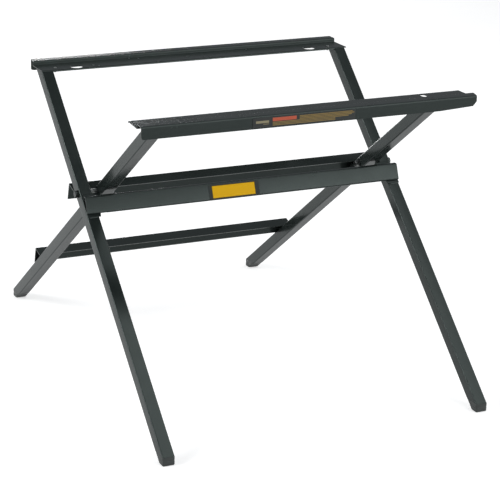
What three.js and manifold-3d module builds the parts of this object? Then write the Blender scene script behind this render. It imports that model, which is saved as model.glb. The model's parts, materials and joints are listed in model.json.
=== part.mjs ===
// Folding stand for a portable table saw.
// Two frames of square tube cross on a pivot bolt at each side. The outer frame stands on the front
// feet and carries the rear rail, the inner frame stands on the rear feet and carries the front rail.
// Millimetres, +Z up, +X to the right along the rails, +Y to the rear. Modelled open, as it stands.
import * as THREE from 'three';
import { mergeVertices } from 'three/addons/utils/BufferGeometryUtils.js';
import Module from 'manifold-3d';

const wasm = await Module();
wasm.setup();

// Clearances and rounding
const seatGap = 0.3;
const boreClearance = 0.3;
const cutOverrun = 5;
const bendSteps = 4;
const cornerSteps = 3;
const roundSides = 28;

// Square tube of the four legs
const tubeSize = 25.4;
const tubeWall = 1.6;
const tubeCorner = 2.2;

// The stand as a whole
const outerFrameWidth = 709;
const pivotHeight = 407.3;
const saddleHeight = 615.1;
const outerLegAngle = THREE.MathUtils.degToRad(41.88);
const innerLegAngle = THREE.MathUtils.degToRad(35.96);

// Feet
const footHeight = 17.7;
const footEdge = 3;
const footHeelEdge = 2;
const footGrooveHeight = 10.2;
const footGrooveWidth = 1;
const footGrooveDepth = 0.6;
const plugDepth = 26;
const plugRoot = 3;

// Rails, both of one section: lip, flange, step, strip, wall
const railSheet = 2;
const railLip = 3.6;
const railFlange = 58;
const railStep = 8.35;
const railStrip = 27.3;
const railWall = 24.9;
const railBend = 1.2;
const railWallCorner = 6;

// Rear rail
const rearRailLead = 0.9;
const rearRailPastLegs = 3.7;
const rearRailEndDraw = 4.5;
const lipNotchSide = 0.6;
const saddleHole = 27;
const saddleHoleInset = 81.5;
const saddleHoleMargin = 3;

// Front rail
const frontRailLap = 25.3;
const frontRailPastLeft = 34.6;
const frontRailPastRight = 65.6;
const frontRailEndDraw = 7.5;
const frontRailRightDraw = 7;
const frontWallSlant = 8;
const frontWallTaper = 4;
const frontWallTaperLength = 75;
const slotWidth = 13;
const slotLength = 22;
const slotMargin = 6.4;
const slotInset = 24.4;

// Clips welded inside the outer legs' tops, and the screws that hold the rear flange to them
const clipSheet = 3;
const clipReach = 22;
const clipDepth = 19;
const clipCorner = 4;
const screwSetback = 17.3;
const screwInset = 9.3;
const screwHead = 6.8;
const screwHeadRise = 2.2;
const screwShank = 4;
const screwTail = 3.5;
const screwDomeShare = 0.7;

// Angle bars on the inner frame, of unequal angle iron with its longer side to the rear
const angleFront = 31.75;
const angleRear = 38.1;
const angleSheet = 3.2;
const angleCorner = 1;
const angleFillet = 3;
const stopGap = 0.5;
const braceReach = 438;

// Front channel, brackets and badge
const channelSheet = 2;
const channelWeb = 36.2;
const channelTilt = THREE.MathUtils.degToRad(21.6);
const channelFall = 29.7;
const channelStandOff = 21.1;
const channelLip = 8;
const channelBend = 1.5;
const bracketSheet = 2;
const bracketTop = 11.6;
const bracketBottom = 65.6;
const bracketTopReach = 41;
const bracketBottomReach = 26;
const bracketShelfDrop = 9;
const bracketCornerCut = 6.5;
const bracketShelfInset = 2.5;
const lipNotchEnd = 1.5;
const lipNotchHeight = 7;

// Plates
const plateSheet = 0.6;
const plateCorner = 1.5;
const badgeWidth = 113;
const badgeHeight = 30;
const badgeShift = -31;
const labelWidth = 219;
const labelHeight = 19;
const labelShift = -11.5;

// Pivots
const pivotGap = 16.7;
const boltShank = 8;
const boltHeadAcross = 13;
const boltHeadRise = 4.6;
const washerSize = 16.5;
const washerSheet = 1.2;
const spacerSize = 15;
const nutRise = 6.6;
const boltTail = 2.5;

// Colours
const steelColor = 0x3d4241;
const blackSteelColor = 0x1f2222;
const zincColor = 0xb9bdbb;
const footColor = 0x4a4c4b;
const badgeColor = 0xe2b100;
const labelColor = 0x55595a;

// Values that follow
const halfTube = tubeSize / 2;
const halfWidth = outerFrameWidth / 2;
const outerLegX = halfWidth - halfTube;
const outerLegInside = halfWidth - tubeSize;
const innerLegOutside = outerLegInside - pivotGap;
const innerLegX = innerLegOutside - halfTube;
const innerLegInside = innerLegOutside - tubeSize;
const flangeUnder = saddleHeight - railSheet;
const legTop = flangeUnder - seatGap;
const stripHeight = saddleHeight + railStep;
const railDepth = railFlange + railStrip;
const farReach = 2 * stripHeight + outerFrameWidth;

// A leg's line in the side view. at gives the point s up along the leg from the pivot and n off its
// middle, to the side that faces up. reachAt and yAt give where the line at n crosses a height.
function legLine(angle, lean) {
  const along = [lean * Math.cos(angle), Math.sin(angle)];
  const off = [-lean * Math.sin(angle), Math.cos(angle)];
  const at = (s, n) => [s * along[0] + n * off[0], pivotHeight + s * along[1] + n * off[1]];
  const reachAt = (z, n) => (z - pivotHeight - n * off[1]) / along[1];
  const yAt = (z, n) => at(reachAt(z, n), n)[0];
  return { along, at, reachAt, yAt, lean };
}

const outerLine = legLine(outerLegAngle, 1);
const innerLine = legLine(innerLegAngle, -1);

// Solids
function toSolid(geometry) {
  const bare = geometry.clone();
  bare.deleteAttribute('normal');
  bare.deleteAttribute('uv');
  const merged = mergeVertices(bare);
  const vertProperties = Float32Array.from(merged.attributes.position.array);
  const triVerts = Uint32Array.from(merged.index.array);
  return new wasm.Manifold(new wasm.Mesh({ numProp: 3, vertProperties, triVerts }));
}

function toGeometry(solid) {
  const mesh = solid.getMesh();
  const geometry = new THREE.BufferGeometry();
  geometry.setAttribute('position', new THREE.BufferAttribute(mesh.vertProperties, 3));
  geometry.setIndex(new THREE.BufferAttribute(mesh.triVerts, 1));
  geometry.computeVertexNormals();
  return geometry;
}

const axisFrames = {
  x: [new THREE.Vector3(0, 1, 0), new THREE.Vector3(0, 0, 1), new THREE.Vector3(1, 0, 0)],
  y: [new THREE.Vector3(0, 0, 1), new THREE.Vector3(1, 0, 0), new THREE.Vector3(0, 1, 0)],
  z: [new THREE.Vector3(1, 0, 0), new THREE.Vector3(0, 1, 0), new THREE.Vector3(0, 0, 1)],
};

// Extrudes an outline along an axis, from one place to another. Outlines are (y, z) along x,
// (z, x) along y and (x, y) along z.
function prism(axis, points, from, to, holes = []) {
  const vectors = (list) => list.map(([a, b]) => new THREE.Vector2(a, b));
  const shape = new THREE.Shape(vectors(points));
  for (const hole of holes) shape.holes.push(new THREE.Path(vectors(hole)));
  const geometry = new THREE.ExtrudeGeometry(shape, { depth: to - from, bevelEnabled: false });
  geometry.translate(0, 0, from);
  geometry.applyMatrix4(new THREE.Matrix4().makeBasis(...axisFrames[axis]));
  return toSolid(geometry);
}

function rectangle(a0, b0, a1, b1) {
  return [[a0, b0], [a1, b0], [a1, b1], [a0, b1]];
}

// The two ends of a stretch along x on one side of the stand, the lower one first
function stretch(side, from, to) {
  return [side * from, side * to].sort((a, b) => a - b);
}

function circle(a, b, radius, sides = roundSides) {
  return Array.from({ length: sides }, (_, i) => {
    const angle = (2 * Math.PI * i) / sides;
    return [a + radius * Math.cos(angle), b + radius * Math.sin(angle)];
  });
}

// An obround outline, longer along the second coordinate
function obround(a, b, width, length) {
  const half = (length - width) / 2;
  const radius = width / 2;
  const steps = roundSides / 2;
  const end = (sign) => Array.from({ length: steps + 1 }, (_, i) => {
    const angle = (sign > 0 ? 0 : Math.PI) + (Math.PI * i) / steps;
    return [a + radius * Math.cos(angle), b + sign * half + radius * Math.sin(angle)];
  });
  return [...end(1), ...end(-1)];
}

// Replaces a corner between two neighbours by an arc
function roundCorner(before, corner, after, radius, steps) {
  if (radius <= 0) return [corner];
  const c = new THREE.Vector2(...corner);
  const toBefore = new THREE.Vector2(...before).sub(c).normalize();
  const toAfter = new THREE.Vector2(...after).sub(c).normalize();
  const opening = Math.acos(THREE.MathUtils.clamp(toBefore.dot(toAfter), -1, 1));
  const tangent = radius / Math.tan(opening / 2);
  const bisector = toBefore.clone().add(toAfter).normalize();
  const centre = bisector.multiplyScalar(radius / Math.sin(opening / 2)).add(c);
  const start = toBefore.clone().multiplyScalar(tangent).add(c).sub(centre);
  const end = toAfter.clone().multiplyScalar(tangent).add(c).sub(centre);
  const sweep = Math.atan2(start.x * end.y - start.y * end.x, start.dot(end));
  return Array.from({ length: steps + 1 }, (_, i) => {
    const p = start.clone().rotateAround(new THREE.Vector2(0, 0), (sweep * i) / steps).add(centre);
    return [p.x, p.y];
  });
}

function roundedOutline(points, radii, steps = cornerSteps) {
  const count = points.length;
  return points.flatMap((point, i) => {
    const before = points[(i + count - 1) % count];
    const after = points[(i + 1) % count];
    return roundCorner(before, point, after, radii[i], steps);
  });
}

// Section of a bent sheet. path is the outer line, the sheet lies to the right of travel, and
// insideRadius is the radius on the inside of each bend.
function bentSheet(path, sheet, insideRadius) {
  const rights = path.slice(1).map((point, i) => {
    const d = new THREE.Vector2(point[0] - path[i][0], point[1] - path[i][1]).normalize();
    return new THREE.Vector2(d.y, -d.x);
  });
  const last = path.length - 1;
  const inner = path.map((point, i) => {
    const a = rights[Math.max(i - 1, 0)];
    const b = rights[Math.min(i, last - 1)];
    const mitre = a.clone().add(b).multiplyScalar(sheet / (1 + a.dot(b)));
    return [point[0] + mitre.x, point[1] + mitre.y];
  });
  const rounded = (line, turnSign) => line.flatMap((point, i) => {
    if (i === 0 || i === last) return [point];
    const turn = rights[i - 1].cross(rights[i]) * turnSign;
    const radius = turn < 0 ? insideRadius + sheet : insideRadius;
    return roundCorner(line[i - 1], point, line[i + 1], radius, bendSteps);
  });
  return [...rounded(path, 1), ...rounded(inner, -1).reverse()];
}

// Legs
function legBlank(line, x, half, from, to, corner) {
  const square = rectangle(-half, -half, half, half);
  const outline = roundedOutline(square, square.map(() => corner));
  const shape = new THREE.Shape(outline.map(([a, b]) => new THREE.Vector2(a, b)));
  const geometry = new THREE.ExtrudeGeometry(shape, { depth: to - from, bevelEnabled: false });
  const side = new THREE.Vector3(1, 0, 0);
  const along = new THREE.Vector3(0, ...line.along);
  const third = along.clone().cross(side);
  geometry.translate(0, 0, from);
  geometry.applyMatrix4(new THREE.Matrix4().makeBasis(side, third, along));
  geometry.translate(x, 0, pivotHeight);
  return toSolid(geometry);
}

function level(bottom, top) {
  return prism('x', rectangle(-farReach, bottom, farReach, top), -farReach, farReach);
}

function pivotHole(from, to) {
  return prism('x', circle(0, pivotHeight, boltShank / 2 + boreClearance), from, to);
}

function leg(line, x) {
  const footEnd = line.reachAt(0, 0) - tubeSize;
  const topEnd = line.reachAt(legTop, 0) + tubeSize;
  const outside = legBlank(line, x, halfTube, footEnd, topEnd, tubeCorner);
  const inside = legBlank(line, x, halfTube - tubeWall, footEnd - cutOverrun, topEnd + cutOverrun, 0);
  const hole = pivotHole(x - halfTube - cutOverrun, x + halfTube + cutOverrun);
  return outside.subtract(inside).subtract(hole).intersect(level(footHeight + seatGap, legTop));
}

// Feet: a block under the tube's slanted end with an upright outer face, and a plug inside the tube.
// inset draws every face in, and the block then runs past its top.
function footBlock(line, x, inset) {
  const top = footHeight + (inset > 0 ? cutOverrun : 0);
  const outerY = line.yAt(footHeight + seatGap, halfTube) + line.lean * inset;
  const heelAt = (z) => line.yAt(z, -halfTube) - line.lean * inset;
  const side = [[outerY, inset], [outerY, top], [heelAt(top), top], [heelAt(inset), inset]];
  const half = halfTube - inset;
  const front = [[inset, x - half], [top, x - half], [top, x + half], [inset, x + half]];
  const length = prism('x', roundedOutline(side, [footEdge, 0, 0, footHeelEdge]), x - half, x + half);
  const across = prism('y', roundedOutline(front, [footEdge, 0, 0, footEdge]), -farReach, farReach);
  return length.intersect(across);
}

function foot(line, x) {
  const body = footBlock(line, x, 0);
  const kept = footBlock(line, x, footGrooveDepth);
  const band = level(footGrooveHeight, footGrooveHeight + footGrooveWidth);
  const plugHalf = halfTube - tubeWall - seatGap;
  const plugStart = line.reachAt(0, 0) - tubeSize;
  const plugEnd = line.reachAt(footHeight, 0) + plugDepth;
  const plug = legBlank(line, x, plugHalf, plugStart, plugEnd, 0);
  const shank = plug.intersect(level(footHeight - plugRoot, farReach));
  return body.subtract(band.subtract(kept)).add(shank);
}

// Rails
const railOuterLine = [
  [0, saddleHeight - railLip],
  [0, saddleHeight],
  [railFlange, saddleHeight],
  [railFlange, stripHeight],
  [railDepth, stripHeight],
  [railDepth, stripHeight - railWall],
];
const railSection = bentSheet(railOuterLine, railSheet, railBend);

// edgeY is the flange's free edge and outward is +1 for the rear rail and -1 for the front rail
function railBlank(edgeY, outward, left, right) {
  const section = railSection.map(([u, z]) => [edgeY + outward * u, z]);
  return prism('x', section, left, right);
}

function flangeHole(outline) {
  return prism('z', outline, flangeUnder - cutOverrun, saddleHeight + cutOverrun);
}

const rearEdgeY = outerLine.yAt(legTop, halfTube) - rearRailLead;
const frontEdgeY = innerLine.yAt(legTop, halfTube) + frontRailLap;
const rearStripY = rearEdgeY + railFlange;
const rearWallY = rearEdgeY + railDepth;
const frontStripY = frontEdgeY - railFlange;
const frontWallY = frontEdgeY - railDepth;
const screwX = outerLegInside - screwInset;
const screwY = rearEdgeY + screwSetback;

function screwHole(side) {
  return flangeHole(circle(side * screwX, screwY, screwShank / 2 + boreClearance));
}

function rearRail() {
  const left = -halfWidth;
  const right = halfWidth + rearRailPastLegs;
  const wallFoot = stripHeight - railWall;
  const plan = [
    [left, rearEdgeY - cutOverrun],
    [right, rearEdgeY - cutOverrun],
    [right, rearWallY + cutOverrun],
    [left + rearRailEndDraw, rearWallY + cutOverrun],
    [left + rearRailEndDraw, rearWallY],
    [left, rearStripY],
  ];
  const faceOn = [
    [wallFoot, left],
    [stripHeight + cutOverrun, left],
    [stripHeight + cutOverrun, right],
    [wallFoot, right],
  ];
  const corner = railWallCorner + rearRailEndDraw;
  const elevation = roundedOutline(faceOn, [corner, 0, 0, railWallCorner]);
  let rail = railBlank(rearEdgeY, 1, left, right);
  rail = rail.intersect(prism('z', plan, wallFoot - cutOverrun, stripHeight + cutOverrun));
  rail = rail.intersect(prism('y', elevation, rearEdgeY - cutOverrun, rearWallY + cutOverrun));
  const holeY = rearEdgeY + saddleHoleMargin + saddleHole / 2;
  const notchBack = rearEdgeY + railSheet + railBend;
  for (const side of [-1, 1]) {
    const hole = circle(side * (halfWidth - saddleHoleInset), holeY, saddleHole / 2);
    const [notchLeft, notchRight] = stretch(side, outerLegInside - lipNotchSide, right + cutOverrun);
    const notch = rectangle(notchLeft, rearEdgeY - cutOverrun, notchRight, notchBack);
    rail = rail.subtract(flangeHole(hole)).subtract(screwHole(side));
    rail = rail.subtract(prism('z', notch, saddleHeight - railLip - cutOverrun, flangeUnder));
  }
  return rail;
}

function frontRail() {
  const left = -(innerLegOutside + frontRailPastLeft);
  const right = innerLegOutside + frontRailPastRight;
  const wallFoot = stripHeight - railWall;
  const wallRight = right - frontRailRightDraw;
  const plan = [
    [left + frontRailEndDraw, frontEdgeY + cutOverrun],
    [right, frontEdgeY + cutOverrun],
    [right, frontStripY],
    [wallRight, frontWallY],
    [wallRight, frontWallY - cutOverrun],
    [left, frontWallY - cutOverrun],
    [left, frontWallY],
    [left + frontRailEndDraw, frontEdgeY],
  ];
  const faceOn = [
    [wallFoot, left],
    [stripHeight + cutOverrun, left],
    [stripHeight + cutOverrun, right + cutOverrun],
    [stripHeight, right + cutOverrun],
    [saddleHeight - railLip, right + cutOverrun],
    [saddleHeight - railLip, wallRight],
    [wallFoot + frontWallTaper, wallRight - frontWallSlant],
    [wallFoot, wallRight - frontWallSlant - frontWallTaperLength],
  ];
  const radii = [railWallCorner, 0, 0, 0, 0, 0, railWallCorner / 2, 0];
  const elevation = roundedOutline(faceOn, radii);
  const slotY = frontEdgeY - slotMargin - slotLength / 2;
  const slot = flangeHole(obround(innerLegOutside - slotInset, slotY, slotWidth, slotLength));
  let rail = railBlank(frontEdgeY, -1, left, right);
  rail = rail.intersect(prism('z', plan, wallFoot - cutOverrun, stripHeight + cutOverrun));
  rail = rail.intersect(prism('y', elevation, frontWallY - cutOverrun, frontEdgeY + cutOverrun));
  return rail.subtract(slot);
}

// Clip: a flat lug on the inside of an outer leg, under the flange
function clip(side) {
  const [left, right] = stretch(side, outerLegInside - seatGap - clipReach, outerLegInside - seatGap);
  const outline = rectangle(left, screwY - clipDepth / 2, right, screwY + clipDepth / 2);
  const radii = [side, -side, -side, side].map((freeEnd) => (freeEnd > 0 ? clipCorner : 0));
  const rounded = roundedOutline(outline, radii);
  return prism('z', rounded, legTop - clipSheet, legTop).subtract(screwHole(side));
}

function railScrew(side) {
  const seat = saddleHeight + seatGap;
  const bottom = flangeUnder - clipSheet - screwTail;
  const head = screwHead / 2;
  const shank = screwShank / 2;
  const profile = [
    [0, bottom],
    [shank, bottom],
    [shank, seat],
    [head, seat],
    [head, seat + screwHeadRise / 2],
    [head * screwDomeShare, seat + screwHeadRise],
    [0, seat + screwHeadRise],
  ];
  const points = profile.map(([r, z]) => new THREE.Vector2(r, z));
  const geometry = new THREE.LatheGeometry(points, roundSides / 2);
  geometry.rotateX(Math.PI / 2);
  geometry.translate(side * screwX, screwY, 0);
  return toSolid(geometry);
}

// Angle bar set like a roof on the inner legs' upper faces, its edges ground flat to them. s is where its
// front edge stands along the leg, downward from the pivot.
function angleBar(s, halfLength) {
  const face = halfTube + seatGap;
  const span = Math.hypot(angleFront, angleRear);
  const ridge = [angleFront ** 2 / span, (angleFront * angleRear) / span];
  const under = [
    ridge[0] + (angleSheet * (angleRear - angleFront)) / span,
    ridge[1] - (angleSheet * (angleRear + angleFront)) / span,
  ];
  const section = [
    [0, 0],
    ridge,
    [span, 0],
    [span - (angleSheet * span) / angleFront, 0],
    under,
    [(angleSheet * span) / angleRear, 0],
  ].map(([along, off]) => innerLine.at(-s - along, face + off));
  const radii = [0, angleCorner, 0, 0, angleFillet, 0];
  return prism('x', roundedOutline(section, radii), -halfLength, halfLength);
}

// Where the stop angle's front edge stands on the inner legs and meets the outer legs' rear faces
const crossing = outerLegAngle + innerLegAngle;
const stopReach = (halfTube + stopGap + (halfTube + seatGap) * Math.cos(crossing)) / Math.sin(crossing);

// Front channel, in the outer leg's line: s up along the leg, n off its upper face
const channelTop = outerLine.at(-channelFall, halfTube + channelStandOff);
const webDown = [-Math.sin(channelTilt), -Math.cos(channelTilt)];
const channelFoot = [channelTop[0] + channelWeb * webDown[0], channelTop[1] + channelWeb * webDown[1]];

function channelOutline() {
  const path = [
    [channelFoot[0] + channelLip, channelFoot[1]],
    channelFoot,
    channelTop,
    [channelTop[0] + channelLip, channelTop[1]],
  ];
  return bentSheet(path, channelSheet, channelBend);
}

// Where a piece that seats on the back of the channel's web ends, at a height
function behindWeb(z) {
  const middle = channelTop[0] - (channelTop[1] - z) * Math.tan(channelTilt);
  return middle + channelSheet / Math.cos(channelTilt) + seatGap;
}

// The lower lip is cut away where the brackets stand
function frontChannel() {
  const inner = halfWidth - bracketTopReach - lipNotchEnd;
  const notchFoot = channelFoot[1] - cutOverrun;
  const notchTop = channelFoot[1] + lipNotchHeight;
  const notchRear = behindWeb(notchTop) + channelLip + cutOverrun;
  const notch = [
    [behindWeb(notchFoot), notchFoot],
    [notchRear, notchFoot],
    [notchRear, notchTop],
    [behindWeb(notchTop), notchTop],
  ];
  let channel = prism('x', channelOutline(), -halfWidth, halfWidth);
  for (const side of [-1, 1]) {
    channel = channel.subtract(prism('x', notch, ...stretch(side, inner, halfWidth + cutOverrun)));
  }
  return channel;
}

// Bracket: a plate on the outer leg's upper face with a shelf that reaches the channel's web
function bracket(side) {
  const under = halfTube + seatGap;
  const over = under + bracketSheet;
  const plateSide = [
    outerLine.at(-bracketTop, under),
    outerLine.at(-bracketTop, over),
    outerLine.at(-bracketBottom, over),
    outerLine.at(-bracketBottom, under),
  ];
  const shelfTop = channelTop[1] - bracketShelfDrop;
  const shelfFoot = shelfTop - bracketSheet;
  const shelfSide = [
    [behindWeb(shelfTop), shelfTop],
    [outerLine.yAt(shelfTop, under + bracketSheet / 2), shelfTop],
    [outerLine.yAt(shelfFoot, under + bracketSheet / 2), shelfFoot],
    [behindWeb(shelfTop), shelfFoot],
  ];
  const plate = prism('x', plateSide, -halfWidth, halfWidth);
  const top = outerLine.at(-bracketTop, over)[1];
  const bottom = outerLine.at(-bracketBottom, under)[1];
  const face = [
    [bottom - cutOverrun, halfWidth],
    [top - bracketCornerCut, halfWidth],
    [top, halfWidth - bracketCornerCut],
    [top, halfWidth - bracketTopReach],
    [bottom - cutOverrun, halfWidth - bracketBottomReach],
  ].map(([z, x]) => [z, side * x]);
  const ends = stretch(side, outerLegInside + bracketShelfInset, halfWidth - bracketShelfInset);
  const shelf = prism('x', shelfSide, ...ends);
  return plate.intersect(prism('y', face, -farReach, farReach)).add(shelf);
}

// Plates
function badgePlate() {
  const middle = [(channelTop[0] + channelFoot[0]) / 2, (channelTop[1] + channelFoot[1]) / 2];
  const outward = [webDown[1], -webDown[0]];
  const corner = (along, off) => [
    middle[0] + along * webDown[0] + off * outward[0],
    middle[1] + along * webDown[1] + off * outward[1],
  ];
  const half = badgeHeight / 2;
  const far = seatGap + plateSheet;
  const section = [corner(-half, seatGap), corner(-half, far), corner(half, far), corner(half, seatGap)];
  return prism('x', section, badgeShift - badgeWidth / 2, badgeShift + badgeWidth / 2);
}

function labelPlate() {
  const middle = stripHeight - railWall / 2 - railBend / 2;
  const left = labelShift - labelWidth / 2;
  const outline = rectangle(middle - labelHeight / 2, left, middle + labelHeight / 2, left + labelWidth);
  const rounded = roundedOutline(outline, outline.map(() => plateCorner));
  return prism('y', rounded, frontWallY - seatGap - plateSheet, frontWallY - seatGap);
}

// Pivot pieces, placed from the stand's middle outward on one side
function ring(outline, from, to, side) {
  const bore = circle(0, pivotHeight, boltShank / 2 + boreClearance);
  return prism('x', outline, ...stretch(side, from, to), [bore]);
}

function hexagon(across) {
  return circle(0, pivotHeight, across / 2 / Math.cos(Math.PI / 6), 6);
}

const spacerOutline = circle(0, pivotHeight, spacerSize / 2);
const washerOutline = circle(0, pivotHeight, washerSize / 2);
const outerWasherFrom = halfWidth + seatGap;
const outerWasherTo = outerWasherFrom + washerSheet;
const innerWasherTo = innerLegInside - seatGap;
const innerWasherFrom = innerWasherTo - washerSheet;
const nutTo = innerWasherFrom - seatGap;
const nutFrom = nutTo - nutRise;

function bolt(side) {
  const headFrom = outerWasherTo + seatGap;
  const head = prism('x', hexagon(boltHeadAcross), ...stretch(side, headFrom, headFrom + boltHeadRise));
  const shankEnds = stretch(side, nutFrom - boltTail, headFrom + boltHeadRise / 2);
  return head.add(prism('x', circle(0, pivotHeight, boltShank / 2), ...shankEnds));
}

// Finishes as colour, roughness and metalness
const frameFinish = [steelColor, 0.45, 0.2];
const railFinish = [steelColor, 0.4, 0.2];
const blackFinish = [blackSteelColor, 0.4, 0.6];
const zincFinish = [zincColor, 0.3, 0.9];
const footFinish = [footColor, 0.6, 0];
const badgeFinish = [badgeColor, 0.5, 0];
const labelFinish = [labelColor, 0.5, 0];

const group = new THREE.Group();

function place(name, solid, [color, roughness, metalness]) {
  const material = new THREE.MeshStandardMaterial({ color, roughness, metalness });
  const mesh = new THREE.Mesh(toGeometry(solid), material);
  mesh.name = name;
  group.add(mesh);
}

for (const [name, side] of [['left', -1], ['right', 1]]) {
  place(`leg_outer_${name}`, leg(outerLine, side * outerLegX), frameFinish);
  place(`foot_outer_${name}`, foot(outerLine, side * outerLegX), footFinish);
  place(`leg_inner_${name}`, leg(innerLine, side * innerLegX), frameFinish);
  place(`foot_inner_${name}`, foot(innerLine, side * innerLegX), footFinish);
  place(`clip_rear_${name}`, clip(side), frameFinish);
  place(`rail_screw_${name}`, railScrew(side), zincFinish);
  place(`channel_bracket_${name}`, bracket(side), frameFinish);
  const spacer = ring(spacerOutline, innerLegOutside + seatGap, outerLegInside - seatGap, side);
  place(`pivot_bolt_${name}`, bolt(side), blackFinish);
  place(`washer_outer_${name}`, ring(washerOutline, outerWasherFrom, outerWasherTo, side), blackFinish);
  place(`pivot_spacer_${name}`, spacer, zincFinish);
  place(`washer_inner_${name}`, ring(washerOutline, innerWasherFrom, innerWasherTo, side), zincFinish);
  place(`pivot_nut_${name}`, ring(hexagon(boltHeadAcross), nutFrom, nutTo, side), zincFinish);
}
place('rail_rear', rearRail(), railFinish);
place('rail_front', frontRail(), railFinish);
place('angle_stop', angleBar(stopReach, halfWidth), frameFinish);
place('brace_lower', angleBar(braceReach, innerLegOutside), frameFinish);
place('channel_front', frontChannel(), railFinish);
place('badge_plate', badgePlate(), badgeFinish);
place('label_plate', labelPlate(), labelFinish);

// The origin is on the floor under the middle of the stand's box
const box = new THREE.Box3().setFromObject(group);
const middle = box.getCenter(new THREE.Vector3());
group.position.set(-middle.x, -middle.y, 0);
group.updateMatrixWorld(true);

export default group;
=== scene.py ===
import json
import math

import bmesh
import bpy
from mathutils import Matrix, Vector


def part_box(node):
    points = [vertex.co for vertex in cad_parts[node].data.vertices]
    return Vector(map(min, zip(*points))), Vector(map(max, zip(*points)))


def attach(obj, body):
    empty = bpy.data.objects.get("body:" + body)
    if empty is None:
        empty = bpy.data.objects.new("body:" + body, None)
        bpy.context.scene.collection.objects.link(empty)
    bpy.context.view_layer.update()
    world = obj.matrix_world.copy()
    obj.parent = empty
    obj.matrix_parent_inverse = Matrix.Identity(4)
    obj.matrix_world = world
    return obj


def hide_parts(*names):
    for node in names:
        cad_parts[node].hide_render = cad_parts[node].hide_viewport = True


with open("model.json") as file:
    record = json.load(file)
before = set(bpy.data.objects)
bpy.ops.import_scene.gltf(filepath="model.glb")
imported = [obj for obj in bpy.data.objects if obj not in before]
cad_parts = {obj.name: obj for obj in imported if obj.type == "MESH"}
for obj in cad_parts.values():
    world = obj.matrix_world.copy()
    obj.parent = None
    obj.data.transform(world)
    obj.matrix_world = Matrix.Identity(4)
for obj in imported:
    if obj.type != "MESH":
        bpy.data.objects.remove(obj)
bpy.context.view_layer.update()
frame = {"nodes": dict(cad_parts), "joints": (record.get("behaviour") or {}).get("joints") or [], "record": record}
nodes = frame["nodes"]
print("frame loaded:", len(nodes), "nodes")

# the stand's own lines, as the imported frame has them
stand = {
    "tube": 0.0254,
    "seatGap": 0.0003,
    "pivot": Vector(frame["joints"][0]["pos_m"]),
}
legs = {
    "outer": {"body": "outer_frame", "slope": math.radians(41.88), "toward": -1},  # feet at the front
    "inner": {"body": "inner_frame", "slope": math.radians(35.96), "toward": 1},  # feet at the rear
}
for leg in legs.values():
    slope, toward = leg["slope"], leg["toward"]
    leg["down"] = Vector((0, toward * math.cos(slope), -math.sin(slope)))
    leg["over"] = Vector((0, toward * math.sin(slope), math.cos(slope)))
inboard = {"left": 1, "right": -1}  # which way the middle lies from each side, along x
across = Vector((1, 0, 0))


def boxOf(name):
    low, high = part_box(name)
    return {"low": low, "high": high, "mid": (low + high) / 2}


def inboardEnd(box, side):
    return box["high"].x if side == "left" else box["low"].x


# node helpers
def addNode(tree, kind, **settings):
    node = tree.nodes.new(kind)
    for key, value in settings.items():
        setattr(node, key, value)
    return node


# a socket takes another node's output, a colour or a number
def feed(tree, socket, value):
    if isinstance(value, bpy.types.NodeSocket):
        tree.links.new(value, socket)
    elif isinstance(value, tuple):
        socket.default_value = (*value, 1)
    else:
        socket.default_value = value


def mathNode(tree, operation, first, second, clamp=False):
    node = addNode(tree, "ShaderNodeMath", operation=operation, use_clamp=clamp)
    feed(tree, node.inputs[0], first)
    feed(tree, node.inputs[1], second)
    return node.outputs[0]


def mixColour(tree, factor, first, second):
    node = addNode(tree, "ShaderNodeMix", data_type="RGBA")
    for index, value in ((0, factor), (6, first), (7, second)):
        feed(tree, node.inputs[index], value)
    return node.outputs[2]


def rangeNode(tree, value, fromLow, fromHigh, toLow, toHigh):
    node = addNode(tree, "ShaderNodeMapRange")
    limits = {"From Min": fromLow, "From Max": fromHigh, "To Min": toLow, "To Max": toHigh}
    feed(tree, node.inputs["Value"], value)
    for name, number in limits.items():
        feed(tree, node.inputs[name], number)
    return node.outputs["Result"]


def noiseNode(tree, place, scale, detail, roughness=0.5):
    node = addNode(tree, "ShaderNodeTexNoise")
    settings = {"Vector": place, "Scale": scale, "Detail": detail, "Roughness": roughness}
    for name, value in settings.items():
        feed(tree, node.inputs[name], value)
    return node.outputs["Fac"]


noiseSpan = (0.3, 0.7)  # most of a noise's values lie in here


def spreadNoise(tree, noise, low, high):
    return rangeNode(tree, noise, *noiseSpan, low, high)


def objectPlace(tree):
    return addNode(tree, "ShaderNodeTexCoord").outputs["Object"]


def newMaterial(name):
    material = bpy.data.materials.new(name)
    material.use_nodes = True
    tree = material.node_tree
    return material, tree, tree.nodes["Principled BSDF"]


def bumpInto(tree, shader, height, look):
    bump = addNode(tree, "ShaderNodeBump")
    feed(tree, bump.inputs["Strength"], look["bump"])
    feed(tree, bump.inputs["Distance"], look["bumpDepth"])
    feed(tree, bump.inputs["Height"], height)
    feed(tree, shader.inputs["Normal"], bump.outputs["Normal"])


# powder coat: soft clouds of tone, a fine fleck, smudges of gloss and an orange peel skin
coatSkin = {
    "cloudDetail": 4,
    "fleckScale": 2600,
    "fleckDetail": 1,
    "fleckReach": 0.16,
    "smudgeScale": 26,
    "smudgeDetail": 3,
    "smudgeRoughness": 0.6,
    "peelDetail": 1,
}


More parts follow.
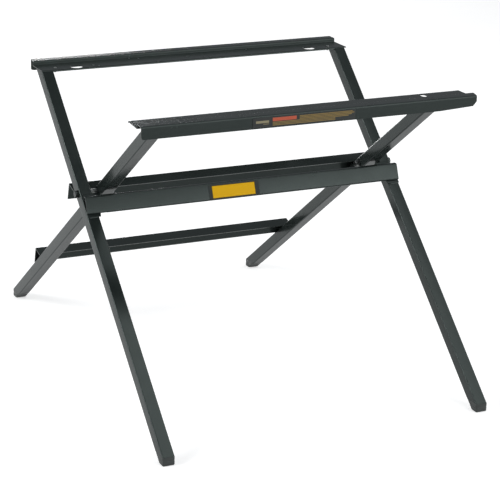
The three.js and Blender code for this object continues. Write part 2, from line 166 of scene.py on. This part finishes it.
def makeCoatGroup():
    group = bpy.data.node_groups.new("coatSkin", "ShaderNodeTree")
    sockets = (
        ("Dark Tone", "INPUT", "NodeSocketColor"),
        ("Light Tone", "INPUT", "NodeSocketColor"),
        ("Cloud Scale", "INPUT", "NodeSocketFloat"),
        ("Peel Scale", "INPUT", "NodeSocketFloat"),
        ("Roughness Low", "INPUT", "NodeSocketFloat"),
        ("Roughness High", "INPUT", "NodeSocketFloat"),
        ("Colour", "OUTPUT", "NodeSocketColor"),
        ("Roughness", "OUTPUT", "NodeSocketFloat"),
        ("Peel", "OUTPUT", "NodeSocketFloat"),
    )
    for name, way, kind in sockets:
        group.interface.new_socket(name=name, in_out=way, socket_type=kind)
    source = addNode(group, "NodeGroupInput").outputs
    sink = addNode(group, "NodeGroupOutput").inputs
    place = objectPlace(group)
    skin = coatSkin
    clouds = noiseNode(group, place, source["Cloud Scale"], skin["cloudDetail"])
    fleck = noiseNode(group, place, skin["fleckScale"], skin["fleckDetail"])
    smudge = noiseNode(group, place, skin["smudgeScale"], skin["smudgeDetail"],
                       skin["smudgeRoughness"])
    peel = noiseNode(group, place, source["Peel Scale"], skin["peelDetail"])
    tone = mathNode(group, "ADD", spreadNoise(group, clouds, 0, 1),
                    spreadNoise(group, fleck, -skin["fleckReach"], skin["fleckReach"]), clamp=True)
    spread = mathNode(group, "SUBTRACT", source["Roughness High"], source["Roughness Low"])
    added = mathNode(group, "MULTIPLY", spreadNoise(group, smudge, 0, 1), spread)
    feed(group, sink["Colour"], mixColour(group, tone, source["Dark Tone"], source["Light Tone"]))
    feed(group, sink["Roughness"], mathNode(group, "ADD", source["Roughness Low"], added))
    feed(group, sink["Peel"], peel)
    return group


coatGroup = makeCoatGroup()


def coatMaterial(name, look):
    material, tree, shader = newMaterial(name)
    skin = addNode(tree, "ShaderNodeGroup", node_tree=coatGroup)
    settings = {
        "Dark Tone": look["dark"],
        "Light Tone": look["light"],
        "Cloud Scale": look["cloudScale"],
        "Peel Scale": look["peelScale"],
        "Roughness Low": look["roughness"][0],
        "Roughness High": look["roughness"][1],
    }
    for key, value in settings.items():
        feed(tree, skin.inputs[key], value)
    feed(tree, shader.inputs["Base Color"], skin.outputs["Colour"])
    feed(tree, shader.inputs["Roughness"], skin.outputs["Roughness"])
    feed(tree, shader.inputs["Specular IOR Level"], look["specular"])
    feed(tree, shader.inputs["Specular Tint"], look["sheen"])
    bumpInto(tree, shader, skin.outputs["Peel"], look)
    return material


frameCoat = {
    "dark": (0.0125, 0.0165, 0.0155),
    "light": (0.0175, 0.0225, 0.0212),
    "cloudScale": 9,
    "peelScale": 700,
    "roughness": (0.16, 0.23),
    "specular": 0.42,
    "sheen": (0.85, 1.0, 0.96),
    "bump": 0.01,
    "bumpDepth": 0.0001,
}
railCoat = dict(frameCoat, cloudScale=6, roughness=(0.21, 0.28), bump=0.006)
boltBlack = dict(frameCoat, dark=(0.008, 0.009, 0.009), light=(0.014, 0.015, 0.015), cloudScale=60)
footSkin = {
    "dark": (0.044, 0.047, 0.046),
    "light": (0.056, 0.060, 0.059),
    "cloudScale": 30,
    "peelScale": 1600,
    "roughness": (0.34, 0.44),
    "specular": 0.45,
    "sheen": (0.9, 1.0, 0.97),
    "bump": 0.5,
    "bumpDepth": 0.0002,
}

# zinc plate, with turning marks round x as on the pivot pieces
zincLook = {
    "dark": (0.11, 0.12, 0.12),
    "light": (0.24, 0.25, 0.245),
    "cloudScale": 180,
    "cloudDetail": 3,
    "markScale": 2400,
    "markDetail": 2,
    "markStretch": (1, 0.02, 0.02),
    "roughness": (0.24, 0.40),
    "bump": 0.2,
    "bumpDepth": 0.0001,
}


def zincMaterial(name, look):
    material, tree, shader = newMaterial(name)
    place = objectPlace(tree)
    stretch = addNode(tree, "ShaderNodeMapping")
    stretch.inputs["Scale"].default_value = look["markStretch"]
    feed(tree, stretch.inputs["Vector"], place)
    marks = noiseNode(tree, stretch.outputs["Vector"], look["markScale"], look["markDetail"])
    clouds = noiseNode(tree, place, look["cloudScale"], look["cloudDetail"])
    tone = mixColour(tree, spreadNoise(tree, clouds, 0, 1), look["dark"], look["light"])
    feed(tree, shader.inputs["Base Color"], tone)
    feed(tree, shader.inputs["Roughness"], spreadNoise(tree, marks, *look["roughness"]))
    feed(tree, shader.inputs["Metallic"], 1)
    bumpInto(tree, shader, marks, look)
    return material


# printed plates: plain fields on a ground, with no lettering, placed in shares of the plate
printSkin = {
    "grainScale": 1400,
    "grainDetail": 2,
    "smudgeScale": 60,
    "smudgeDetail": 2,
    "bump": 0.1,
    "bumpDepth": 0.0001,
}
badgeLook = {
    "ground": (0.046, 0.052, 0.050),
    "groundDark": (0.039, 0.045, 0.043),
    "inkDarkShare": 0.9,
    "fields": [
        {"x": (0.058, 0.922), "z": (0.065, 0.945), "ink": (0.11, 0.072, 0.008)},
        {"x": (0.068, 0.912), "z": (0.10, 0.91), "ink": (0.95, 0.53, 0.002)},
    ],
    "roughness": (0.32, 0.42),
    "specular": 0.12,
}
labelLook = {
    "ground": (0.026, 0.030, 0.029),
    "groundDark": (0.020, 0.024, 0.023),
    "inkDarkShare": 0.85,
    "fields": [
        {"x": (0.19, 0.42), "z": (0.54, 0.90), "ink": (0.62, 0.11, 0.05)},
        {"x": (0.45, 0.97), "z": (0.80, 0.89), "ink": (0.30, 0.20, 0.05)},
        {"x": (0.45, 0.985), "z": (0.66, 0.75), "ink": (0.30, 0.20, 0.05)},
        {"x": (0.45, 0.96), "z": (0.52, 0.61), "ink": (0.30, 0.20, 0.05)},
        {"x": (0.19, 0.93), "z": (0.38, 0.47), "ink": (0.28, 0.19, 0.05)},
        {"x": (0.19, 0.80), "z": (0.24, 0.33), "ink": (0.28, 0.19, 0.05)},
        {"x": (0.19, 0.80), "z": (0.10, 0.19), "ink": (0.28, 0.19, 0.05)},
        {"x": (0.03, 0.155), "z": (0.44, 0.68), "ink": (0.34, 0.30, 0.18)},
        {"x": (0.10, 0.155), "z": (0.28, 0.36), "ink": (0.24, 0.20, 0.10)},
    ],
    "roughness": (0.4, 0.5),
    "specular": 0.4,
}


def fieldMask(tree, acrossPlate, upPlate, field):
    mask = 1
    for value, (low, high) in ((acrossPlate, field["x"]), (upPlate, field["z"])):
        for operation, limit in (("GREATER_THAN", low), ("LESS_THAN", high)):
            mask = mathNode(tree, "MULTIPLY", mask, mathNode(tree, operation, value, limit))
    return mask


def printMaterial(name, look, box):
    material, tree, shader = newMaterial(name)
    skin = printSkin
    place = objectPlace(tree)
    split = addNode(tree, "ShaderNodeSeparateXYZ")
    feed(tree, split.inputs[0], place)
    acrossPlate = rangeNode(tree, split.outputs["X"], box["low"].x, box["high"].x, 0, 1)
    upPlate = rangeNode(tree, split.outputs["Z"], box["low"].z, box["high"].z, 0, 1)
    grain = spreadNoise(tree, noiseNode(tree, place, skin["grainScale"], skin["grainDetail"]), 0, 1)
    smudge = noiseNode(tree, place, skin["smudgeScale"], skin["smudgeDetail"])
    colour = mixColour(tree, grain, look["groundDark"], look["ground"])
    for field in look["fields"]:
        inkDark = tuple(part * look["inkDarkShare"] for part in field["ink"])
        ink = mixColour(tree, grain, inkDark, field["ink"])
        colour = mixColour(tree, fieldMask(tree, acrossPlate, upPlate, field), colour, ink)
    feed(tree, shader.inputs["Base Color"], colour)
    feed(tree, shader.inputs["Roughness"], spreadNoise(tree, smudge, *look["roughness"]))
    feed(tree, shader.inputs["Specular IOR Level"], look["specular"])
    bumpInto(tree, shader, grain, skin)
    return material


# every piece takes its finish by its slot
slotMaterials = {
    "frame_steel": coatMaterial("frameSteel", frameCoat),
    "rail_steel": coatMaterial("railSteel", railCoat),
    "foot_plastic": coatMaterial("footPlastic", footSkin),
    "black_steel": coatMaterial("blackSteel", boltBlack),
    "zinc": zincMaterial("zincPlate", zincLook),
    "badge": printMaterial("badgePrint", badgeLook, boxOf("badge_plate")),
    "label": printMaterial("labelPrint", labelLook, boxOf("label_plate")),
}
print("materials made:", len(slotMaterials))

# edges: the width of each slot's rounding, and how close points are joined before and after it
edgeRounding = {
    "rail_steel": 0.0005,
    "frame_steel": 0.0005,
    "foot_plastic": 0.0006,
    "zinc": 0.0003,
    "black_steel": 0.0005,
    "badge": 0.0002,
    "label": 0.0002,
    "angle": math.radians(35),
    "segments": 2,
    "flatAngle": math.radians(0.5),
    "joinReach": 0.00001,
    "mergeReach": 0.000005,
}


# joins a node's loose triangles and shades them smooth, so that its edges can be rounded
def makeJoinGroup():
    group = bpy.data.node_groups.new("joinFaces", "GeometryNodeTree")
    for way in ("INPUT", "OUTPUT"):
        group.interface.new_socket(name="Geometry", in_out=way, socket_type="NodeSocketGeometry")
    drop = addNode(group, "GeometryNodeRemoveAttribute")
    drop.inputs["Name"].default_value = "custom_normal"
    merge = addNode(group, "GeometryNodeMergeByDistance")
    merge.inputs["Distance"].default_value = edgeRounding["joinReach"]
    shape = addNode(group, "NodeGroupInput").outputs[0]
    for step in (drop, merge, addNode(group, "GeometryNodeSetShadeSmooth")):
        feed(group, step.inputs[0], shape)
        shape = step.outputs[0]
    feed(group, addNode(group, "NodeGroupOutput").inputs[0], shape)
    return group


joinGroup = makeJoinGroup()


def bevelEdges(piece, width):
    bevel = piece.modifiers.new("edges", "BEVEL")
    bevel.width = width
    bevel.segments = edgeRounding["segments"]
    bevel.limit_method = "ANGLE"
    bevel.angle_limit = edgeRounding["angle"]
    bevel.harden_normals = True


def roundNode(piece, width):
    piece.modifiers.new("join", "NODES").node_group = joinGroup
    flat = piece.modifiers.new("flat", "DECIMATE")
    flat.decimate_type = "DISSOLVE"
    flat.angle_limit = edgeRounding["flatAngle"]
    bevelEdges(piece, width)
    piece.modifiers.new("merge", "WELD").merge_threshold = edgeRounding["mergeReach"]
    piece.modifiers.new("shade", "WEIGHTED_NORMAL").keep_sharp = True


slotOf = {part["node"]: part["material_slot"] for part in frame["record"]["subparts"]}
for name, piece in nodes.items():
    slot = slotOf[name]
    piece.data.materials.clear()
    piece.data.materials.append(slotMaterials[slot])
    roundNode(piece, edgeRounding[slot])
print("nodes finished")


# new pieces
def addPiece(name, build, slot, body, edge=None):
    bmesh.ops.recalc_face_normals(build, faces=build.faces)
    mesh = bpy.data.meshes.new(name)
    build.to_mesh(mesh)
    build.free()
    mesh.shade_smooth()
    mesh.materials.append(slotMaterials[slot])
    piece = bpy.data.objects.new(name, mesh)
    bpy.context.scene.collection.objects.link(piece)
    if edge:
        bevelEdges(piece, edge)
    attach(piece, body)
    return piece


spinMerge = 0.000001  # joins the points that a spin leaves on its axis


# turns an outline of places along x and radii once round x
def spinOutline(build, outline, sides):
    verts = [build.verts.new((x, 0, radius)) for x, radius in outline]
    edges = [build.edges.new(pair) for pair in zip(verts, verts[1:])]
    bmesh.ops.spin(build, geom=verts + edges, cent=(0, 0, 0), axis=across, angle=math.tau,
                   steps=sides, use_merge=True)
    bmesh.ops.remove_doubles(build, verts=build.verts, dist=spinMerge)


# weld beads: a rippled lathe, laid along its joint and pressed flat against the faces
weldBead = {
    "radius": 0.0021,
    "pitch": 0.0024,
    "taper": 0.0016,
    "rippleShare": 0.2,  # of the bead's height
    "pressShare": 0.75,
    "sides": 10,
}


def layBead(beads, middle, along, normal, length):
    bead = bmesh.new()
    steps = 2 * round(length / weldBead["pitch"])
    outline = []
    for step in range(steps + 1):
        x = length * (step / steps - 0.5)
        fromEnd = min(length / 2 - abs(x), weldBead["taper"]) / weldBead["taper"]
        height = weldBead["radius"] * math.sqrt(fromEnd * (2 - fromEnd))
        outline.append((x, height * (1 - weldBead["rippleShare"] * (step % 2))))
    spinOutline(bead, outline, weldBead["sides"])
    lay = Matrix((along, normal.cross(along), normal * weldBead["pressShare"])).transposed().to_4x4()
    lay.translation = middle
    bmesh.ops.transform(bead, matrix=lay, verts=bead.verts)
    mesh = bpy.data.meshes.new("bead")
    bead.to_mesh(mesh)
    bead.free()
    beads.from_mesh(mesh)
    bpy.data.meshes.remove(mesh)


legWeld = {
    "width": 0.019,  # the flat of a leg's face
    "bars": ("angle_stop", "brace_lower"),
    "plateEnds": (0.0116, 0.0656),  # both ends of a bracket's plate, below the pivot along the leg
    "railLine": (-0.3145, 0.6126),  # y and z where the legs' rear faces meet the front flange
    "clipLength": 0.015,
    "slant": 0.7071,  # both parts of a direction between two faces at right angles
}


# a place on a leg's upper face, so far below the pivot along the leg
def onLeg(leg, reach, x):
    rise = stand["tube"] / 2 + stand["seatGap"]
    place = stand["pivot"] + leg["down"] * reach + leg["over"] * rise
    place.x = x
    return place


def layInnerWelds():
    leg = legs["inner"]
    slant = legWeld["slant"]
    beads = bmesh.new()
    for side in inboard:
        x = boxOf(f"leg_inner_{side}")["mid"].x
        for bar in legWeld["bars"]:
            box = boxOf(bar)
            for y in (box["low"].y, box["high"].y):
                reach = (y - stand["pivot"].y - leg["over"].y * stand["tube"] / 2) / leg["down"].y
                layBead(beads, onLeg(leg, reach, x), across, leg["over"], legWeld["width"])
        place = Vector((x, *legWeld["railLine"]))
        layBead(beads, place, across, Vector((0, slant, -slant)), legWeld["width"])
    addPiece("welds_inner", beads, "frame_steel", leg["body"])


def layOuterWelds():
    leg = legs["outer"]
    slant = legWeld["slant"]
    along = Vector((0, 1, 0))
    beads = bmesh.new()
    for side, inward in inboard.items():
        tube = boxOf(f"leg_outer_{side}")
        for reach in legWeld["plateEnds"]:
            layBead(beads, onLeg(leg, reach, tube["mid"].x), across, leg["over"], legWeld["width"])
        clip = boxOf(f"clip_rear_{side}")
        place = Vector((inboardEnd(tube, side), clip["mid"].y, clip["low"].z))
        layBead(beads, place, along, Vector((slant * inward, 0, -slant)), legWeld["clipLength"])
    addPiece("welds_outer", beads, "frame_steel", leg["body"])


layInnerWelds()
layOuterWelds()
print("welds laid")

# lock ring: the round collar at the inboard end of each pivot nut
lockRing = {
    "radius": 0.0058,
    "bore": 0.00415,
    "length": 0.0016,
    "chamfer": 0.0005,
    "sides": 32,
    "edge": 0.0002,
}


def makeLockRing(side):
    radius, bore, length, chamfer = (lockRing[key] for key in ("radius", "bore", "length", "chamfer"))
    shoulder = [(length - chamfer, radius), (length, radius - chamfer)]
    outline = [(0, bore), (0, radius), *shoulder, (length, bore), (0, bore)]
    build = bmesh.new()
    spinOutline(build, outline, lockRing["sides"])
    bmesh.ops.scale(build, vec=(inboard[side], 1, 1), verts=build.verts)
    start = Vector((inboardEnd(boxOf(f"pivot_nut_{side}"), side), *stand["pivot"].yz))
    bmesh.ops.translate(build, vec=start, verts=build.verts)
    addPiece(f"pivot_lock_{side}", build, "zinc", "outer_frame", lockRing["edge"])


for side in inboard:
    makeLockRing(side)
print("lock rings made")

# rail screw: a domed head with a six-sided recess, in place of the plain solid
railScrew = {
    "shank": 0.002,
    "rise": 0.0022,
    "domeShares": ((1, 0), (1, 0.35), (0.93, 0.7), (0.7, 1)),  # of the head's radius and of its rise
    "recess": 0.0013,
    "recessDepth": 0.0012,
    "recessSides": 6,
    "sides": 24,
    "edge": 0.0002,
}


def makeRailScrew(side):
    name = f"rail_screw_{side}"
    box = boxOf(name)
    screw = railScrew
    head = (box["high"].y - box["low"].y) / 2
    top = box["high"].z
    seat = top - screw["rise"]
    rings = [(screw["shank"], seat)]
    rings += [(head * wide, seat + screw["rise"] * high) for wide, high in screw["domeShares"]]
    rings += [(screw["recess"], top), (screw["recess"], top - screw["recessDepth"])]
    build = bmesh.new()
    bmesh.ops.create_circle(build, cap_ends=False, segments=screw["sides"], radius=screw["shank"])
    bmesh.ops.translate(build, vec=(0, 0, box["low"].z), verts=build.verts)
    loop = build.edges[:]
    bmesh.ops.contextual_create(build, geom=loop)
    halfSide = math.pi / screw["recessSides"]
    for radius, height in rings:
        made = bmesh.ops.extrude_edge_only(build, edges=loop)["geom"]
        loop = [item for item in made if isinstance(item, bmesh.types.BMEdge)]
        for vert in (item for item in made if isinstance(item, bmesh.types.BMVert)):
            way = vert.co.xy.normalized()
            reach = radius
            if radius == screw["recess"]:
                reach /= math.cos(math.atan2(way.y, way.x) % (2 * halfSide) - halfSide)
            vert.co = (way.x * reach, way.y * reach, height)
    bmesh.ops.contextual_create(build, geom=loop)
    bmesh.ops.translate(build, vec=(box["mid"].x, box["mid"].y, 0), verts=build.verts)
    turned = addPiece(name + "_turned", build, "zinc", "outer_frame", screw["edge"])
    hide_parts(name)


for side in inboard:
    makeRailScrew(side)
print("screws made")

# moulded foot: a block that carries on the leg down to the floor, upright at its toe, with soft edges,
# a groove round it and a plug up the tube, in place of the plain solid
footShape = {
    "height": 0.0178,
    "heelStandOff": 0.0006,
    "sideEdge": 0.0032,
    "sideSegments": 5,
    "soleEdge": 0.0028,
    "soleSegments": 4,
    "rimEdge": 0.0007,
    "groove": (0.0095, 0.0104, 0.0113),  # heights of its lower edge, its middle and its upper edge
    "grooveDepth": 0.0007,
    "tubeWall": 0.0021,
    "plugLength": 0.024,
    "levelReach": 0.0001,  # what lies this close to a height lies on it
    "cutReach": 0.00001,
}


def heights(item):
    return [vert.co.z for vert in item.verts]


def roundFoot(build, edges, width, segments):
    bmesh.ops.bevel(build, geom=edges, affect="EDGES", offset=width, offset_type="OFFSET",
                    segments=segments, profile=0.5, material=-1)


def pressGroove(build):
    shape = footShape
    for height in shape["groove"]:
        bmesh.ops.bisect_plane(build, geom=build.verts[:] + build.edges[:] + build.faces[:],
                               plane_co=(0, 0, height), plane_no=(0, 0, 1), dist=shape["cutReach"])
    middle = shape["groove"][1]
    ring = [vert for vert in build.verts if abs(vert.co.z - middle) < shape["levelReach"]]
    centre = sum((vert.co for vert in ring), Vector()) / len(ring)
    for vert in ring:
        for axis in (0, 1):
            inward = centre[axis] - vert.co[axis]
            vert.co[axis] += math.copysign(min(abs(inward), shape["grooveDepth"]), inward)


def makeFoot(name, leg):
    box = boxOf(name)
    shape = footShape
    toward = leg["toward"]
    toe = box["low"].y if toward < 0 else box["high"].y
    heelTop = toe - toward * (stand["tube"] / math.sin(leg["slope"]) + shape["heelStandOff"])
    heelFoot = heelTop + toward * shape["height"] / math.tan(leg["slope"])
    build = bmesh.new()
    bmesh.ops.create_cube(build, size=1)
    for vert in build.verts:
        upper = vert.co.z > 0
        heel = heelTop if upper else heelFoot
        vert.co = (box["mid"].x + vert.co.x * stand["tube"], toe if vert.co.y * toward > 0 else heel,
                   shape["height"] if upper else 0)
    middle = shape["height"] / 2
    upright = [edge for edge in build.edges if min(heights(edge)) < middle < max(heights(edge))]
    roundFoot(build, upright, shape["sideEdge"], shape["sideSegments"])
    sole = [edge for edge in build.edges if max(heights(edge)) < shape["levelReach"]]
    roundFoot(build, sole, shape["soleEdge"], shape["soleSegments"])
    pressGroove(build)
    top = [face for face in build.faces if min(heights(face)) > shape["height"] - shape["levelReach"]]
    bmesh.ops.inset_region(build, faces=top, thickness=shape["tubeWall"], use_even_offset=True)
    plug = bmesh.ops.extrude_face_region(build, geom=top)["geom"]
    bmesh.ops.delete(build, geom=top, context="FACES_ONLY")
    plugVerts = [item for item in plug if isinstance(item, bmesh.types.BMVert)]
    bmesh.ops.translate(build, vec=-leg["down"] * shape["plugLength"], verts=plugVerts)
    foot = addPiece(name + "_moulded", build, "foot_plastic", leg["body"], shape["rimEdge"])
    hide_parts(name)


for side in inboard:
    for kind, leg in legs.items():
        makeFoot(f"foot_{kind}_{side}", leg)
print("feet made")

# floor: plain pale paper that keeps the shadow and shows white
floorLook = {
    "size": 60.0,
    "colour": (0.80, 0.80, 0.80),
    "toneScale": 3,
    "toneDetail": 2,
    "toneLow": 0.985,
    "roughness": 0.9,
    "specular": 0.1,
    "shown": 0.54,
    "mirrored": 0.13,
}


def floorMaterial(name, look):
    material, tree, shader = newMaterial(name)
    noise = noiseNode(tree, objectPlace(tree), look["toneScale"], look["toneDetail"])
    white = mixColour(tree, spreadNoise(tree, noise, look["toneLow"], 1), (0, 0, 0), look["colour"])
    feed(tree, shader.inputs["Base Color"], white)
    feed(tree, shader.inputs["Roughness"], look["roughness"])
    feed(tree, shader.inputs["Specular IOR Level"], look["specular"])
    rays = addNode(tree, "ShaderNodeLightPath").outputs
    bounced = mathNode(tree, "ADD", rays["Is Glossy Ray"], rays["Is Transmission Ray"], clamp=True)
    shown = mathNode(tree, "MULTIPLY", rays["Is Camera Ray"], look["shown"])
    mirrored = mathNode(tree, "MULTIPLY", bounced, look["mirrored"])
    feed(tree, shader.inputs["Emission Color"], (1, 1, 1))
    feed(tree, shader.inputs["Emission Strength"], mathNode(tree, "ADD", shown, mirrored))
    return material


def makeFloor():
    mesh = bpy.data.meshes.new("floor")
    build = bmesh.new()
    bmesh.ops.create_grid(build, x_segments=1, y_segments=1, size=floorLook["size"] / 2)
    build.to_mesh(mesh)
    build.free()
    mesh.materials.append(floorMaterial("floorPaper", floorLook))
    floor = bpy.data.objects.new("floor", mesh)
    bpy.context.scene.collection.objects.link(floor)


makeFloor()

worldLook = {"colour": (0.9, 0.95, 1.0), "strength": 0.2}
world = bpy.data.worlds.new("studio")
bpy.context.scene.world = world
world.use_nodes = True
background = world.node_tree.nodes["Background"]
background.inputs["Color"].default_value = (*worldLook["colour"], 1)
background.inputs["Strength"].default_value = worldLook["strength"]

# each lamp is a soft panel aimed at the stand: place, width and height across, and watts
lamps = {
    "left": {"place": (-3.4, 0.3, 2.3), "size": (2.2, 1.6), "watts": 90},
    "right": {"place": (3.6, 0.2, 1.2), "size": (2.4, 2.0), "watts": 52},
    "above": {"place": (1.3, -1.9, 3.2), "size": (2.4, 2.4), "watts": 30},
    "front": {"place": (1.9, -3.9, 1.3), "size": (2.4, 1.6), "watts": 42},
    "rear": {"place": (0.2, 6.4, 0.8), "size": (4.0, 1.2), "watts": 200},
}
lampAim = Vector((0, 0, 0.35))
for name, lamp in lamps.items():
    data = bpy.data.lights.new(f"lamp_{name}", "AREA")
    data.shape = "RECTANGLE"
    data.size, data.size_y = lamp["size"]
    data.energy = lamp["watts"]
    holder = bpy.data.objects.new(f"lamp_{name}", data)
    bpy.context.scene.collection.objects.link(holder)
    holder.location = lamp["place"]
    holder.rotation_euler = (holder.location - lampAim).to_track_quat("Z", "Y").to_euler()
    holder.visible_camera = False
print("light set")

# camera at the photograph's angle
view = {
    "azimuth": math.radians(-24.973),
    "elevation": math.radians(17.782),
    "roll": math.radians(1.136),
    "distance": 3.9961,
    "aim": Vector((-0.01181, -0.05275, 0.27985)),
    "focalPixels": 1896.1,
    "imagePixels": 500,
    "shiftPixels": (15, -15),
    "sensor": 36.0,
    "farClip": 200,
}
turn = (
    Matrix.Rotation(view["azimuth"], 4, "Z")
    @ Matrix.Rotation(math.pi / 2 - view["elevation"], 4, "X")
    @ Matrix.Rotation(view["roll"], 4, "Z")
)
cameraData = bpy.data.cameras.new("camera")
cameraData.sensor_width = view["sensor"]
cameraData.lens = view["focalPixels"] / view["imagePixels"] * view["sensor"]
cameraData.shift_x = view["shiftPixels"][0] / view["imagePixels"]
cameraData.shift_y = view["shiftPixels"][1] / view["imagePixels"]
cameraData.clip_end = view["farClip"]
camera = bpy.data.objects.new("camera", cameraData)
bpy.context.scene.collection.objects.link(camera)
camera.matrix_world = Matrix.Translation(view["aim"] + turn.col[2].xyz * view["distance"]) @ turn
bpy.context.scene.camera = camera
bpy.context.scene.view_settings.view_transform = "Standard"
